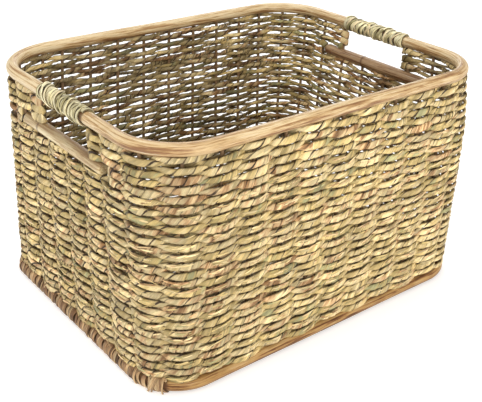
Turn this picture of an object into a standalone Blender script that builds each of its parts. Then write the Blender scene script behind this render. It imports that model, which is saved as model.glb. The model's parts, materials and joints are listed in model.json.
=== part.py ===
"""Rectangular seagrass storage basket with a rattan rim and two cut-through handles.

Frame: +Z up, X along the long side, the origin under the middle of the floor.
The wall runs round the basket in eight runs, counted anticlockwise from the front:
front, corner, right, corner, back, corner, left, corner.  A place on the wall is a run,
a fraction along it, and a height.
"""
import math

import bmesh
import bpy
from mathutils import Matrix, Vector

FRONT, FRONT_RIGHT, RIGHT, BACK_RIGHT, BACK, BACK_LEFT, LEFT, FRONT_LEFT = range(8)
RUN_NAMES = ("front", "corner_front_right", "right", "corner_back_right",
             "back", "corner_back_left", "left", "corner_front_left")
CORNER_SIGNS = {FRONT_RIGHT: (1, -1), BACK_RIGHT: (1, 1), BACK_LEFT: (-1, 1), FRONT_LEFT: (-1, -1)}

# Driving dimensions, in metres.
RIM_HALF_X = 0.230
RIM_HALF_Y = 0.176
RIM_CORNERS = {FRONT_RIGHT: 0.0635, BACK_RIGHT: 0.0635, BACK_LEFT: 0.0740, FRONT_LEFT: 0.0635}
BASE_HALF_X = 0.2253
BASE_HALF_Y = 0.1759
BASE_CORNERS = {FRONT_RIGHT: 0.0525, BACK_RIGHT: 0.0525, BACK_LEFT: 0.0525, FRONT_LEFT: 0.0525}
RIM_RADIUS = 0.0070
BASE_RADIUS = 0.0065
BASE_Z = 0.0085
RIM_Z = BASE_Z + 0.2649

GAP = 0.0003
WALL_THICKNESS = 0.0130
STAKE_RADIUS = 0.0020
CHANNEL_RADIUS = STAKE_RADIUS + GAP
# The stakes of each side: spacing, number, and how far their middle lies anticlockwise of the side's.
STAKE_PITCH = {FRONT: 0.0393, RIGHT: 0.0390, BACK: 0.0393, LEFT: 0.0372}
STAKE_COUNT = {FRONT: 9, RIGHT: 6, BACK: 8, LEFT: 6}
STAKE_SHIFT = {FRONT: 0.0, RIGHT: -0.0015, BACK: 0.0, LEFT: 0.0037}
# The fractions of a corner at which its stakes stand, from the long side.
FRONT_CORNER_STAKES = (0.323, 0.739)
BACK_CORNER_STAKES = (0.071, 0.432, 0.793)

BAR_RADIUS = 0.0070
BAR_Z = RIM_Z - 0.0450
RIM_WRAP_THICKNESS = 0.0019
BASE_WRAP_THICKNESS = 0.0025
BASE_WRAP_END = 0.5
FLOOR_THICKNESS = 0.0080

# The front and the back end, as Y, of each handle's opening, bar and rim wrapping.
OPENING_ENDS = {LEFT: (-0.0515, 0.0430), RIGHT: (-0.0480, 0.0505)}
BAR_ENDS = {LEFT: (-0.0800, 0.0865), RIGHT: (-0.0880, 0.0880)}
RIM_WRAP_ENDS = {LEFT: (-0.0520, 0.0430), RIGHT: (-0.0512, 0.0515)}

CORNER_STEPS = 8
ROUND_SIDES = 16
STAKE_SIDES = 8
BEVEL_RESOLUTION = 6
REACH = 0.030

BASE_WRAP_RADIUS = BASE_RADIUS + GAP + BASE_WRAP_THICKNESS
RIM_WRAP_RADIUS = RIM_RADIUS + GAP + RIM_WRAP_THICKNESS
WALL_TOP = RIM_Z - RIM_RADIUS - GAP
WRAPPED_WALL_TOP = RIM_Z - RIM_WRAP_RADIUS - GAP
WALL_FOOT = BASE_Z + BASE_RADIUS + GAP
WRAPPED_WALL_FOOT = BASE_Z + BASE_WRAP_RADIUS + GAP

for old in list(bpy.data.objects):
    bpy.data.objects.remove(old, do_unlink=True)

basket = bpy.data.collections.new("seagrass_basket")
cutters = bpy.data.collections.new("cutters")
for collection in (basket, cutters):
    bpy.context.scene.collection.children.link(collection)


# Places on the wall.

def outline(run, along, half_x, half_y, corners):
    """A point of a rounded rectangle: a run of it, and the fraction along that run."""
    if run in CORNER_SIGNS:
        sign_x, sign_y = CORNER_SIGNS[run]
        corner = corners[run]
        angle = math.pi / 2 * ((run - 1) // 2 - 1 + along)
        return (sign_x * (half_x - corner) + corner * math.cos(angle),
                sign_y * (half_y - corner) + corner * math.sin(angle))
    start = outline((run - 1) % 8, 1.0, half_x, half_y, corners)
    end = outline(run + 1, 0.0, half_x, half_y, corners)
    return start[0] + along * (end[0] - start[0]), start[1] + along * (end[1] - start[1])


def wall_point(run, along, z):
    """The middle of the wall's thickness, between the base hoop's outline and the rim's."""
    rise = (z - BASE_Z) / (RIM_Z - BASE_Z)
    half_x = BASE_HALF_X + rise * (RIM_HALF_X - BASE_HALF_X)
    half_y = BASE_HALF_Y + rise * (RIM_HALF_Y - BASE_HALF_Y)
    corners = {place: BASE_CORNERS[place] + rise * (RIM_CORNERS[place] - BASE_CORNERS[place])
               for place in CORNER_SIGNS}
    return Vector((*outline(run, along, half_x, half_y, corners), z))


def run_ends(run):
    """Where a straight run starts and ends at the rim, measured from the middle of its side."""
    half = RIM_HALF_X if run in (FRONT, BACK) else RIM_HALF_Y
    return RIM_CORNERS[(run - 1) % 8] - half, half - RIM_CORNERS[run + 1]


def run_length(run):
    start, end = run_ends(run)
    return end - start


def loop_places():
    """Every run and fraction that an outline needs, once round the basket."""
    places = []
    for run in CORNER_SIGNS:
        places += [(run, step / CORNER_STEPS) for step in range(CORNER_STEPS + 1)]
    return places


# Materials.

def principled(name, colour, roughness):
    material = bpy.data.materials.new(name)
    material.use_nodes = True
    shader = material.node_tree.nodes["Principled BSDF"]
    shader.inputs["Base Color"].default_value = (*colour, 1.0)
    shader.inputs["Roughness"].default_value = roughness
    shader.inputs["Metallic"].default_value = 0.0
    return material


MATERIALS = {
    "rattan": principled("rattan", (0.62, 0.42, 0.22), 0.55),
    "base_cane": principled("base_cane", (0.48, 0.25, 0.10), 0.55),
    "seagrass": principled("seagrass", (0.52, 0.42, 0.22), 0.80),
    "floor_seagrass": principled("floor_seagrass", (0.42, 0.33, 0.18), 0.85),
    "straw_wrap": principled("straw_wrap", (0.68, 0.60, 0.38), 0.70),
    "brown_wrap": principled("brown_wrap", (0.36, 0.22, 0.11), 0.80),
    "stake_cane": principled("stake_cane", (0.24, 0.15, 0.08), 0.70),
}


# Objects from meshes, curves and primitives.

def add_object(name, data, collection, material=None):
    made = bpy.data.objects.new(name, data)
    collection.objects.link(made)
    if material:
        data.materials.append(MATERIALS[material])
    return made


def mark_cutter(cutter):
    cutter.hide_render = True
    cutter.display_type = "WIRE"
    return cutter


def add_cutter(name, data):
    return mark_cutter(add_object(name, data, cutters))


def cut(piece, cutter):
    boolean = piece.modifiers.new(cutter.name, "BOOLEAN")
    boolean.operation = "DIFFERENCE"
    boolean.solver = "EXACT"
    boolean.object = cutter


def smooth(mesh):
    mesh.shade_smooth()
    mesh.set_sharp_from_angle(angle=math.radians(40))


def rods_mesh(name, rods, radius, sides):
    """One mesh holding a straight round rod for each pair of end points."""
    mesh = bpy.data.meshes.new(name)
    shape = bmesh.new()
    for start, end in rods:
        turn = (end - start).to_track_quat("Z", "Y").to_matrix().to_4x4()
        bmesh.ops.create_cone(shape, cap_ends=True, segments=sides, radius1=radius, radius2=radius,
                              depth=(end - start).length,
                              matrix=Matrix.Translation((start + end) / 2) @ turn)
    shape.to_mesh(mesh)
    shape.free()
    smooth(mesh)
    return mesh


def box_mesh(name, low, high):
    mesh = bpy.data.meshes.new(name)
    shape = bmesh.new()
    size = Vector(high) - Vector(low)
    place = Matrix.Translation((Vector(low) + Vector(high)) / 2)
    bmesh.ops.create_cube(shape, size=1.0, matrix=place @ Matrix.Diagonal((*size, 1.0)))
    shape.to_mesh(mesh)
    shape.free()
    return mesh


def bent_rod(name, points, radius, closed):
    """A curve with a round bevel through the points."""
    curve = bpy.data.curves.new(name, "CURVE")
    curve.dimensions = "3D"
    curve.bevel_depth = radius
    curve.bevel_resolution = BEVEL_RESOLUTION
    curve.use_fill_caps = True
    spline = curve.splines.new("POLY")
    spline.points.add(len(points) - 1)
    for control, point in zip(spline.points, points):
        control.co = (*point, 1.0)
    spline.use_cyclic_u = closed
    return curve


def mesh_from_curve(name, curve, collection, material=None):
    """A mesh object in the curve's place, so that a modifier can cut it or cut with it."""
    source = add_object(name + "_curve", curve, collection)
    bpy.context.view_layer.update()
    evaluated = source.evaluated_get(bpy.context.evaluated_depsgraph_get())
    mesh = bpy.data.meshes.new_from_object(evaluated)
    shape = bmesh.new()
    shape.from_mesh(mesh)
    bmesh.ops.remove_doubles(shape, verts=shape.verts, dist=0.00001)
    shape.to_mesh(mesh)
    shape.free()
    mesh.name = name
    smooth(mesh)
    made = add_object(name, mesh, collection, material)
    made.matrix_world = source.matrix_world.copy()
    bpy.data.objects.remove(source)
    return made


# Stakes: upright rods of cane inside the woven wall.

def straight_stakes(run):
    """The fractions along a straight run at which its stakes stand."""
    middle = (STAKE_COUNT[run] - 1) / 2
    places = [STAKE_SHIFT[run] + (index - middle) * STAKE_PITCH[run] for index in range(STAKE_COUNT[run])]
    return [(place - run_ends(run)[0]) / run_length(run) for place in places]


def stake_places(run):
    """The fractions along a run at which its stakes stand; corner ones start from the long side."""
    if run in (FRONT_LEFT, BACK_RIGHT):
        places = FRONT_CORNER_STAKES if run == FRONT_LEFT else BACK_CORNER_STAKES
        return [1 - along for along in reversed(places)]
    if run in (FRONT_RIGHT, BACK_LEFT):
        return list(FRONT_CORNER_STAKES if run == FRONT_RIGHT else BACK_CORNER_STAKES)
    return straight_stakes(run)


def stands_between(run, along, ends):
    """Whether a stake of a handle's run stands between two Y values."""
    return run in ends and ends[run][0] < wall_point(run, along, BAR_Z).y < ends[run][1]


def under_handle(run, along):
    """Whether a stake stands below the handle opening and stops at its bar."""
    return stands_between(run, along, OPENING_ENDS)


def wall_foot(run):
    return WALL_FOOT if run in (FRONT, BACK) else WRAPPED_WALL_FOOT


def stake_ends(run, along):
    top = WALL_TOP
    if stands_between(run, along, RIM_WRAP_ENDS):
        top = WRAPPED_WALL_TOP
    if under_handle(run, along):
        top = BAR_Z - BAR_RADIUS - 2 * GAP
    return wall_point(run, along, wall_foot(run)), wall_point(run, along, top)


def channel_ends(run, along):
    """A stake's line run past both edges of the wall."""
    return wall_point(run, along, 0.0), wall_point(run, along, RIM_Z)


def add_stakes():
    for run, run_name in enumerate(RUN_NAMES):
        for number, along in enumerate(stake_places(run), start=1):
            name = f"stake_{run_name}_{number}"
            mesh = rods_mesh(name, [stake_ends(run, along)], STAKE_RADIUS, STAKE_SIDES)
            add_object(name, mesh, basket, "stake_cane")


# Woven wall: a sheet along each run, thickened, with a channel round every stake.

def panel_places(run):
    """Run and fraction of each plan point of a wall panel; corner panels lap onto the straights."""
    lap = 0.006
    if run in CORNER_SIGNS:
        bend = [(run, step / CORNER_STEPS) for step in range(CORNER_STEPS + 1)]
        return [(run - 1, 1 - lap)] + bend + [((run + 1) % 8, lap)]
    edge = lap + GAP / run_length(run)
    return [(run, edge), (run, 1 - edge)]


def add_wall_panel(run):
    name = "weave_" + RUN_NAMES[run]
    places = panel_places(run)
    mesh = bpy.data.meshes.new(name)
    sheet = bmesh.new()
    last = len(places) - 1
    bmesh.ops.create_grid(sheet, x_segments=last, y_segments=1, size=1.0)
    for vertex in sheet.verts:
        place_run, along = places[round((vertex.co.x + 1) / 2 * last)]
        z = WALL_TOP if vertex.co.y > 0 else wall_foot(run)
        vertex.co = wall_point(place_run, along, z)
    bmesh.ops.recalc_face_normals(sheet, faces=sheet.faces)
    sheet.to_mesh(mesh)
    sheet.free()
    panel = add_object(name, mesh, basket, "seagrass")
    shell = panel.modifiers.new("thickness", "SOLIDIFY")
    shell.thickness = WALL_THICKNESS
    shell.offset = 0.0
    shell.use_even_offset = True
    channels = [channel_ends(run, along) for along in stake_places(run)]
    channel_rods = rods_mesh("channels_" + name, channels, CHANNEL_RADIUS, STAKE_SIDES)
    cut(panel, add_cutter("channels_" + name, channel_rods))
    return panel


# Handles: an opening under the rim, a round bar below it and a wrapping on the rim above.

def add_handle(run, panel, side):
    name = RUN_NAMES[run]
    wall_x = wall_point(run, 0.5, BAR_Z).x
    front, back = OPENING_ENDS[run]
    opening = box_mesh("opening_" + name, (wall_x - REACH, front, BAR_Z), (wall_x + REACH, back, RIM_Z))
    cut(panel, add_cutter("opening_" + name, opening))
    front, back = BAR_ENDS[run]
    slot_half = BAR_RADIUS + GAP
    slot = box_mesh("slot_" + name, (wall_x - REACH, front - GAP, BAR_Z - slot_half),
                    (wall_x + REACH, back + GAP, BAR_Z + slot_half))
    cut(panel, add_cutter("slot_" + name, slot))
    front, back = RIM_WRAP_ENDS[run]
    notch = box_mesh("notch_" + name, (wall_x - REACH, front - GAP, WRAPPED_WALL_TOP),
                     (wall_x + REACH, back + GAP, RIM_Z))
    cut(panel, add_cutter("notch_" + name, notch))

    bar_name = "handle_bar_" + name
    bar_ends = [Vector((wall_x, end, BAR_Z)) for end in BAR_ENDS[run]]
    bar_rod = rods_mesh(bar_name, [bar_ends], BAR_RADIUS, ROUND_SIDES)
    bar = add_object(bar_name, bar_rod, basket, "rattan")
    threaded = [channel_ends(run, along) for along in stake_places(run)
                if stands_between(run, along, BAR_ENDS) and not under_handle(run, along)]
    holes = rods_mesh("holes_" + bar_name, threaded, CHANNEL_RADIUS, STAKE_SIDES)
    cut(bar, add_cutter("holes_" + bar_name, holes))

    wrap_name = "handle_wrap_" + name
    rim_x = side * RIM_HALF_X
    sleeve_ends = [Vector((rim_x, end, RIM_Z)) for end in RIM_WRAP_ENDS[run]]
    sleeve = rods_mesh(wrap_name, [sleeve_ends], RIM_WRAP_RADIUS, ROUND_SIDES)
    wrap = add_object(wrap_name, sleeve, basket, "straw_wrap")
    bore_ends = [Vector((rim_x, end * RIM_HALF_Y, RIM_Z)) for end in (-1, 1)]
    bore = rods_mesh("bore_" + wrap_name, [bore_ends], RIM_RADIUS + GAP, ROUND_SIDES)
    cut(wrap, add_cutter("bore_" + wrap_name, bore))


# Hoops: a round rattan pole at the rim and another at the base, and wrappings on the base.

def add_hoop(name, z, radius, material):
    points = [wall_point(*place, z) for place in loop_places()]
    add_object(name, bent_rod(name, points, radius, closed=True), basket, material)


def add_base_wrap(run):
    """A wrapping along a short side's base, round part of both corners, flattened underneath."""
    name = "base_wrap_" + RUN_NAMES[run]
    before = [(run - 1, step / CORNER_STEPS) for step in range(CORNER_STEPS + 1)
              if step / CORNER_STEPS >= 1 - BASE_WRAP_END]
    after = [(run + 1, step / CORNER_STEPS) for step in range(CORNER_STEPS + 1)
             if step / CORNER_STEPS <= BASE_WRAP_END]
    path = [wall_point(*place, BASE_Z) for place in before + after]
    wrap_curve = bent_rod(name, path, BASE_WRAP_RADIUS, closed=False)
    wrap = mesh_from_curve(name, wrap_curve, basket, "brown_wrap")
    whole_base = [wall_point(*place, BASE_Z) for place in loop_places()]
    bore_curve = bent_rod("bore_" + name, whole_base, BASE_RADIUS + GAP, closed=True)
    cut(wrap, mark_cutter(mesh_from_curve("bore_" + name, bore_curve, cutters)))
    ground = box_mesh("ground_" + name, (-1.0, -1.0, -0.05), (1.0, 1.0, GAP))
    cut(wrap, add_cutter("ground_" + name, ground))


def add_floor():
    """The woven mat inside the base hoop, clear of its wrappings."""
    inset = BASE_WRAP_RADIUS + GAP
    corners = {run: corner - inset for run, corner in BASE_CORNERS.items()}
    mat = bpy.data.curves.new("floor", "CURVE")
    mat.dimensions = "2D"
    mat.fill_mode = "BOTH"
    mat.extrude = FLOOR_THICKNESS / 2
    spline = mat.splines.new("POLY")
    places = loop_places()
    spline.points.add(len(places) - 1)
    for control, (run, along) in zip(spline.points, places):
        plan = outline(run, along, BASE_HALF_X - inset, BASE_HALF_Y - inset, corners)
        control.co = (*plan, 0.0, 1.0)
    spline.use_cyclic_u = True
    floor = add_object("floor", mat, basket, "floor_seagrass")
    floor.location.z = FLOOR_THICKNESS / 2


add_hoop("rim_hoop", RIM_Z, RIM_RADIUS, "rattan")
add_hoop("base_hoop", BASE_Z, BASE_RADIUS, "base_cane")
add_stakes()
panels = {run: add_wall_panel(run) for run in range(8)}
add_handle(LEFT, panels[LEFT], -1)
add_handle(RIGHT, panels[RIGHT], 1)
add_base_wrap(LEFT)
add_base_wrap(RIGHT)
add_floor()
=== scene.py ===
"""Looks of the seagrass storage basket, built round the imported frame.

The wall is woven from one long strand that passes in front of and behind the stakes.
A place on it is s, metres anticlockwise round the rim from the middle of the back,
a height z, and a distance out from the middle of the wall's thickness.
"""
import json
import math

import bpy
import numpy as np
from mathutils import Matrix, Vector


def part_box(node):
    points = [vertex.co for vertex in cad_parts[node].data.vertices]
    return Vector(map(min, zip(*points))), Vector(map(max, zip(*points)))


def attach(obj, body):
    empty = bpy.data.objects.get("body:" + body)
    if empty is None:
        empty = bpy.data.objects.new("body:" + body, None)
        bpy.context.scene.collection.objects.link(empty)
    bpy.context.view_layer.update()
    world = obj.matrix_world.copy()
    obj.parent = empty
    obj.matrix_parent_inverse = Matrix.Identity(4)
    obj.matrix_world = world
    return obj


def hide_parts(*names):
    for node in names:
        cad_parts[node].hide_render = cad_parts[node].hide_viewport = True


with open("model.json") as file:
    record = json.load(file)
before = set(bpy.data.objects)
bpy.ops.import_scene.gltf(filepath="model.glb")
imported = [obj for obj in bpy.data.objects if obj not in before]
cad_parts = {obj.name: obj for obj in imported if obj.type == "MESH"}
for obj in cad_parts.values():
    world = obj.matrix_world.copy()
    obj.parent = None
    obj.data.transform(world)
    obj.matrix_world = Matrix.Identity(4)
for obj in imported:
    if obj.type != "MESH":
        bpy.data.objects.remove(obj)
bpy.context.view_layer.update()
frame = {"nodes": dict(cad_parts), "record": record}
nodes = frame["nodes"]


# Sizes and nodes, from the frame. A pole's half is from the middle to its centre line, in X and Y.

def size_of(node):
    """The low and the high corner of a CAD node's box."""
    low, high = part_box(node)
    return np.array(low), np.array(high)


rim_low, rim_high = size_of("rim_hoop")
RIM_RADIUS = (rim_high[2] - rim_low[2]) / 2
RIM_Z = (rim_high[2] + rim_low[2]) / 2
RIM_HALF = rim_high[:2] - RIM_RADIUS
base_low, base_high = size_of("base_hoop")
BASE_RADIUS = (base_high[2] - base_low[2]) / 2
BASE_Z = (base_high[2] + base_low[2]) / 2
BASE_HALF = base_high[:2] - BASE_RADIUS
bar_low, bar_high = size_of("handle_bar_right")
BAR_RADIUS = (bar_high[2] - bar_low[2]) / 2
BAR_Z = (bar_high[2] + bar_low[2]) / 2
BAR_X = (bar_high[0] + bar_low[0]) / 2
floor_low, floor_high = size_of("floor")
OPENINGS = frame["record"]["physics"]["openings"]
HAND_HOLDS = {opening["name"]: np.array(opening["box_m"]) for opening in OPENINGS}
WEAVE_NODES = [name for name in nodes if name.startswith("weave_")]
STAKE_NODES = sorted(name for name in nodes if name.startswith("stake_"))
SIDE_NAMES = {-1: "left", 1: "right"}

# Corners in the order front right, back right, back left, front left, and the poles' radii there.
CORNERS = np.array([(1, -1), (1, 1), (-1, 1), (-1, -1)])
RIM_CORNERS = np.array([0.0635, 0.0635, 0.0740, 0.0635])
BASE_CORNERS = np.array([0.0525, 0.0525, 0.0525, 0.0525])

# Rows of the weave: those that go all the way round, those that end at the bars, and those
# beside the hand holds.
ROWS = 51
FULL_ROWS = 42
BAR_ROWS = 3
ROWS_PER_PIECE = 6
FIRST_ROW_Z = BASE_Z + BASE_RADIUS + 0.0022
LAST_ROW_Z = RIM_Z - RIM_RADIUS - 0.0027
ROW_PITCH = (LAST_ROW_Z - FIRST_ROW_Z) / (ROWS - 1)

# The strand: how far it swings past a stake, its thickness, the length of a twist and of a turn back,
# and the step between the points along it.
STRAND_SWING = 0.0042
STRAND_THICKNESS = 0.0023
TWIST_PITCH = 0.017
TURN_LENGTH = 0.010
STEP = 0.0015

# Its section: a leaf rolled round itself, so that its free edge stands proud of the turn below.
LEAF_ANGLES = np.radians([8, 38, 76, 114, 154, 194, 234, 272, 314, 352])
LEAF_RADII = np.array([1.08, 1.06, 1.02, 0.99, 0.96, 0.94, 0.91, 0.88, 0.83, 0.78])

# About how far from the middle of a short side the rows turn back: those at the bar's ends, and those
# beside the hand hold. The record's boxes of the hand holds are smaller than the holes by the margin.
BAR_END_STAKE = 0.0975
OPENING_STAKE = 0.0585
HAND_HOLD_MARGIN = 0.0010

# How far the wall swells out: halfway up, and high up at one corner, where the swelling follows
# rise cubed times what is left of the rise, which is at most the peak.
WALL_BULGE = 0.0025
SHOULDER = 0.0034
SHOULDER_PEAK = 0.1055

# Places as shares of the way round.
TIGHT_FROM = 0.13
BACK_LEFT = 0.17
NEAR_CORNER = 0.365
FRONT_RIGHT = 0.64
RIGHT_WALL = 0.76
HOOP_WORN = 0.37
HOOP_JOIN = 0.75

STRAY_FIBRES = 150
LEAF_FLAKES = 2100


# The wall's surface: eight runs, a straight one and a corner four times, from the front's left end.

SIDES = 2 * RIM_HALF[[0, 1, 0, 1]] - RIM_CORNERS - np.roll(RIM_CORNERS, 1)
RUN_LENGTHS = np.column_stack([SIDES, math.pi / 2 * RIM_CORNERS]).ravel()
RUN_STARTS = np.concatenate([[0.0], np.cumsum(RUN_LENGTHS)])
PERIMETER = RUN_STARTS[-1]
BACK_MIDDLE = RUN_STARTS[4] + RIM_HALF[0] - RIM_CORNERS[1]


def run_at(s):
    """The run, 0 to 7, that each place lies on, and the fraction of it that is passed."""
    place = (s + BACK_MIDDLE) % PERIMETER
    run = np.clip(np.searchsorted(RUN_STARTS, place, side="right") - 1, 0, 7)
    return run, (place - RUN_STARTS[run]) / RUN_LENGTHS[run]


def outline(run, along, half, corners):
    """Points and outward directions of a rounded rectangle: a run 0 to 7 and a fraction along it."""
    quarter = run // 2
    straight = run % 2 == 0
    angle = math.pi / 2 * (quarter - 1 + np.where(straight, 0.0, along))
    outward = np.stack([np.cos(angle), np.sin(angle)], axis=1)
    places = np.arange(len(run))
    ends = []
    for corner in ((quarter - 1) % 4, quarter % 4):
        radius = corners[places, corner][:, None]
        ends.append(CORNERS[corner] * (half - radius) + radius * outward)
    start = np.where(straight[:, None], ends[0], ends[1])
    return start + (ends[1] - start) * along[:, None], outward


def near(share, middle, width):
    """How close a share of the way round is to another, from 0 to 1."""
    gap = (share - middle + 0.5) % 1.0 - 0.5
    return np.exp(-(gap / width) ** 2)


def bulge(s, rise):
    """How far the wall swells out: least at the back left, and most high up at the front right corner."""
    share = (s / PERIMETER) % 1.0
    rise = np.clip(rise, 0, 1)
    belly = WALL_BULGE * (1 - near(share, BACK_LEFT, 0.14)) * 4 * rise * (1 - rise)
    shoulder = SHOULDER * near(share, FRONT_RIGHT, 0.05) * rise ** 3 * (1 - rise) / SHOULDER_PEAK
    return belly + shoulder


def wall(s, z, out):
    """Points in space for places on the wall."""
    s = np.asarray(s, float)
    z = np.broadcast_to(z, s.shape)
    run, along = run_at(s)
    rise = (z - BASE_Z) / (RIM_Z - BASE_Z)
    half = BASE_HALF + rise[:, None] * (RIM_HALF - BASE_HALF)
    corners = BASE_CORNERS + rise[:, None] * (RIM_CORNERS - BASE_CORNERS)
    plan, outward = outline(run, along, half, corners)
    plan = plan + outward * (out + bulge(s, rise))[:, None]
    return np.column_stack([plan, z])


def wall_and_outward(s, z, out):
    """Points for places on the wall, and the direction out of it at each."""
    points = wall(s, z, out)
    return points, unit(wall(s, z, out + 0.001) - points)


# Random wander, the same on every run.

def wander(rng, along, spacing, size):
    """A smooth random value at each distance along, changing over about the spacing."""
    knots = rng.normal(0.0, size, int(along[-1] / spacing) + 4)
    place = along / spacing
    index = place.astype(int)
    blend = smooth(place - index)
    return knots[index] * (1 - blend) + knots[index + 1] * blend


def pieces_along(rng, along, shortest, longest):
    """A random number from 0 to 1 for each strip of leaf that a strand is made of."""
    joins = np.cumsum(rng.uniform(shortest, longest, int(along[-1] / shortest) + 2))
    return rng.uniform(0, 1, len(joins) + 1)[np.searchsorted(joins, along)]


# Meshes.

def smooth(share):
    """Eases a value from 0 to 1."""
    return share * share * (3 - 2 * share)


def distances(points):
    """How far along a path each of its points is."""
    return np.concatenate([[0.0], np.cumsum(np.linalg.norm(np.diff(points, axis=0), axis=1))])


def unit(vectors):
    """The vectors at length 1."""
    return vectors / np.maximum(np.linalg.norm(vectors, axis=1, keepdims=True), 1e-12)


def same(count, values):
    """The same values for each of so many points."""
    return np.tile(values, (count, 1))


def round_angles(sides):
    """Evenly spaced angles round a section."""
    return np.linspace(0, 2 * math.pi, sides, endpoint=False)


def tube(points, outward, half_out, half_up, angles, radii=1.0, twist=None, closed=False, square=1.0,
         depth=None):
    """Rings of points round a path, with which way each one faces and how deep in the wall it lies."""
    if closed:
        along_path = np.roll(points, -1, axis=0) - np.roll(points, 1, axis=0)
    else:
        along_path = np.gradient(points, axis=0)
    forward = unit(along_path)
    outward = unit(outward - forward * np.sum(outward * forward, axis=1, keepdims=True))
    up = np.cross(outward, forward)
    turned = angles[None, :] + (np.zeros(len(points)) if twist is None else twist)[:, None]
    across = np.cos(turned)
    high = np.sin(turned)
    lies = np.zeros(len(points)) if depth is None else depth
    facing = np.stack([across, high, np.broadcast_to(lies[:, None], across.shape)], axis=-1)
    across = np.sign(across) * np.abs(across) ** square * radii
    high = np.sign(high) * np.abs(high) ** square * radii
    rings = (points[:, None, :] + (half_out[:, None] * across)[..., None] * outward[:, None, :]
             + (half_up[:, None] * high)[..., None] * up[:, None, :])
    return rings, angles, facing


def ring_faces(count, sides, start, closed):
    """Quads between rings, as rows of four point numbers."""
    ring = np.arange(count if closed else count - 1)
    side = np.arange(sides)
    a = start + ring[:, None] * sides + side[None, :]
    b = start + ring[:, None] * sides + (side[None, :] + 1) % sides
    following = (ring[:, None] + 1) % count
    c = start + following * sides + (side[None, :] + 1) % sides
    d = start + following * sides + side[None, :]
    return np.stack([a, d, c, b], axis=-1).reshape(-1, 4)


class Strands:
    """Gathers tubes into one mesh object with the values that its material reads."""

    def __init__(self):
        self.points = []
        self.quads = []
        self.caps = []
        self.grain = []
        self.tone = []
        self.hue = []
        self.facing = []
        self.count = 0

    def add(self, tube_made, tone, hue, closed=False, offset=0.0):
        """Adds a tube. The offset moves its grain along, so that tubes don't all look the same."""
        rings, angle, facing = tube_made
        count, sides = rings.shape[:2]
        along = distances(rings.mean(axis=1)) + offset
        self.points.append(rings.reshape(-1, 3))
        grain = np.empty((count, sides, 3))
        grain[..., 0] = along[:, None]
        grain[..., 1] = np.cos(angle)
        grain[..., 2] = np.sin(angle)
        self.grain.append(grain.reshape(-1, 3))
        self.tone.append(np.repeat(tone, sides))
        self.hue.append(np.repeat(hue, sides))
        self.facing.append(facing.reshape(-1, 3))
        self.quads.append(ring_faces(count, sides, self.count, closed))
        if not closed:
            first = self.count + np.arange(sides)
            last = self.count + (count - 1) * sides + np.arange(sides)
            self.caps += [first, last[::-1]]
        self.count += count * sides

    def mesh(self, name):
        """The mesh of all the tubes, with their end caps."""
        points = np.concatenate(self.points)
        quads = np.concatenate(self.quads)
        mesh = bpy.data.meshes.new(name)
        loops = np.concatenate([quads.ravel(), *self.caps]) if self.caps else quads.ravel()
        totals = np.concatenate([np.full(len(quads), 4), [len(cap) for cap in self.caps]]).astype(int)
        starts = np.concatenate([[0], np.cumsum(totals)[:-1]]).astype(int)
        mesh.vertices.add(len(points))
        mesh.vertices.foreach_set("co", points.astype(np.float32).ravel())
        mesh.loops.add(len(loops))
        mesh.loops.foreach_set("vertex_index", loops.astype(np.int32))
        mesh.polygons.add(len(totals))
        mesh.polygons.foreach_set("loop_start", starts.astype(np.int32))
        mesh.update(calc_edges=True)
        mesh.validate()
        return mesh

    def object(self, name, material, replaces):
        """The finished piece: its mesh, the values on it, its body and what it replaces."""
        mesh = self.mesh(name)
        for attribute, kind, key, values in (("grain", "FLOAT_VECTOR", "vector", self.grain),
                                             ("facing", "FLOAT_VECTOR", "vector", self.facing),
                                             ("tone", "FLOAT", "value", self.tone),
                                             ("hue", "FLOAT", "value", self.hue)):
            layer = mesh.attributes.new(attribute, kind, "POINT")
            layer.data.foreach_set(key, np.concatenate(values).astype(np.float32).ravel())
        mesh.shade_smooth()
        mesh.set_sharp_from_angle(angle=math.radians(48))
        mesh.materials.append(material)
        made = bpy.data.objects.new(name, mesh)
        bpy.context.scene.collection.objects.link(made)
        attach(made, "root")
        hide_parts(*replaces)


# Materials. The mesh values they read: grain is the distance along a strand and the place round its
# section, facing is how far a face looks outward and upward and how deep in the wall it lies, and tone
# and hue are from 0 to 1.

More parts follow.
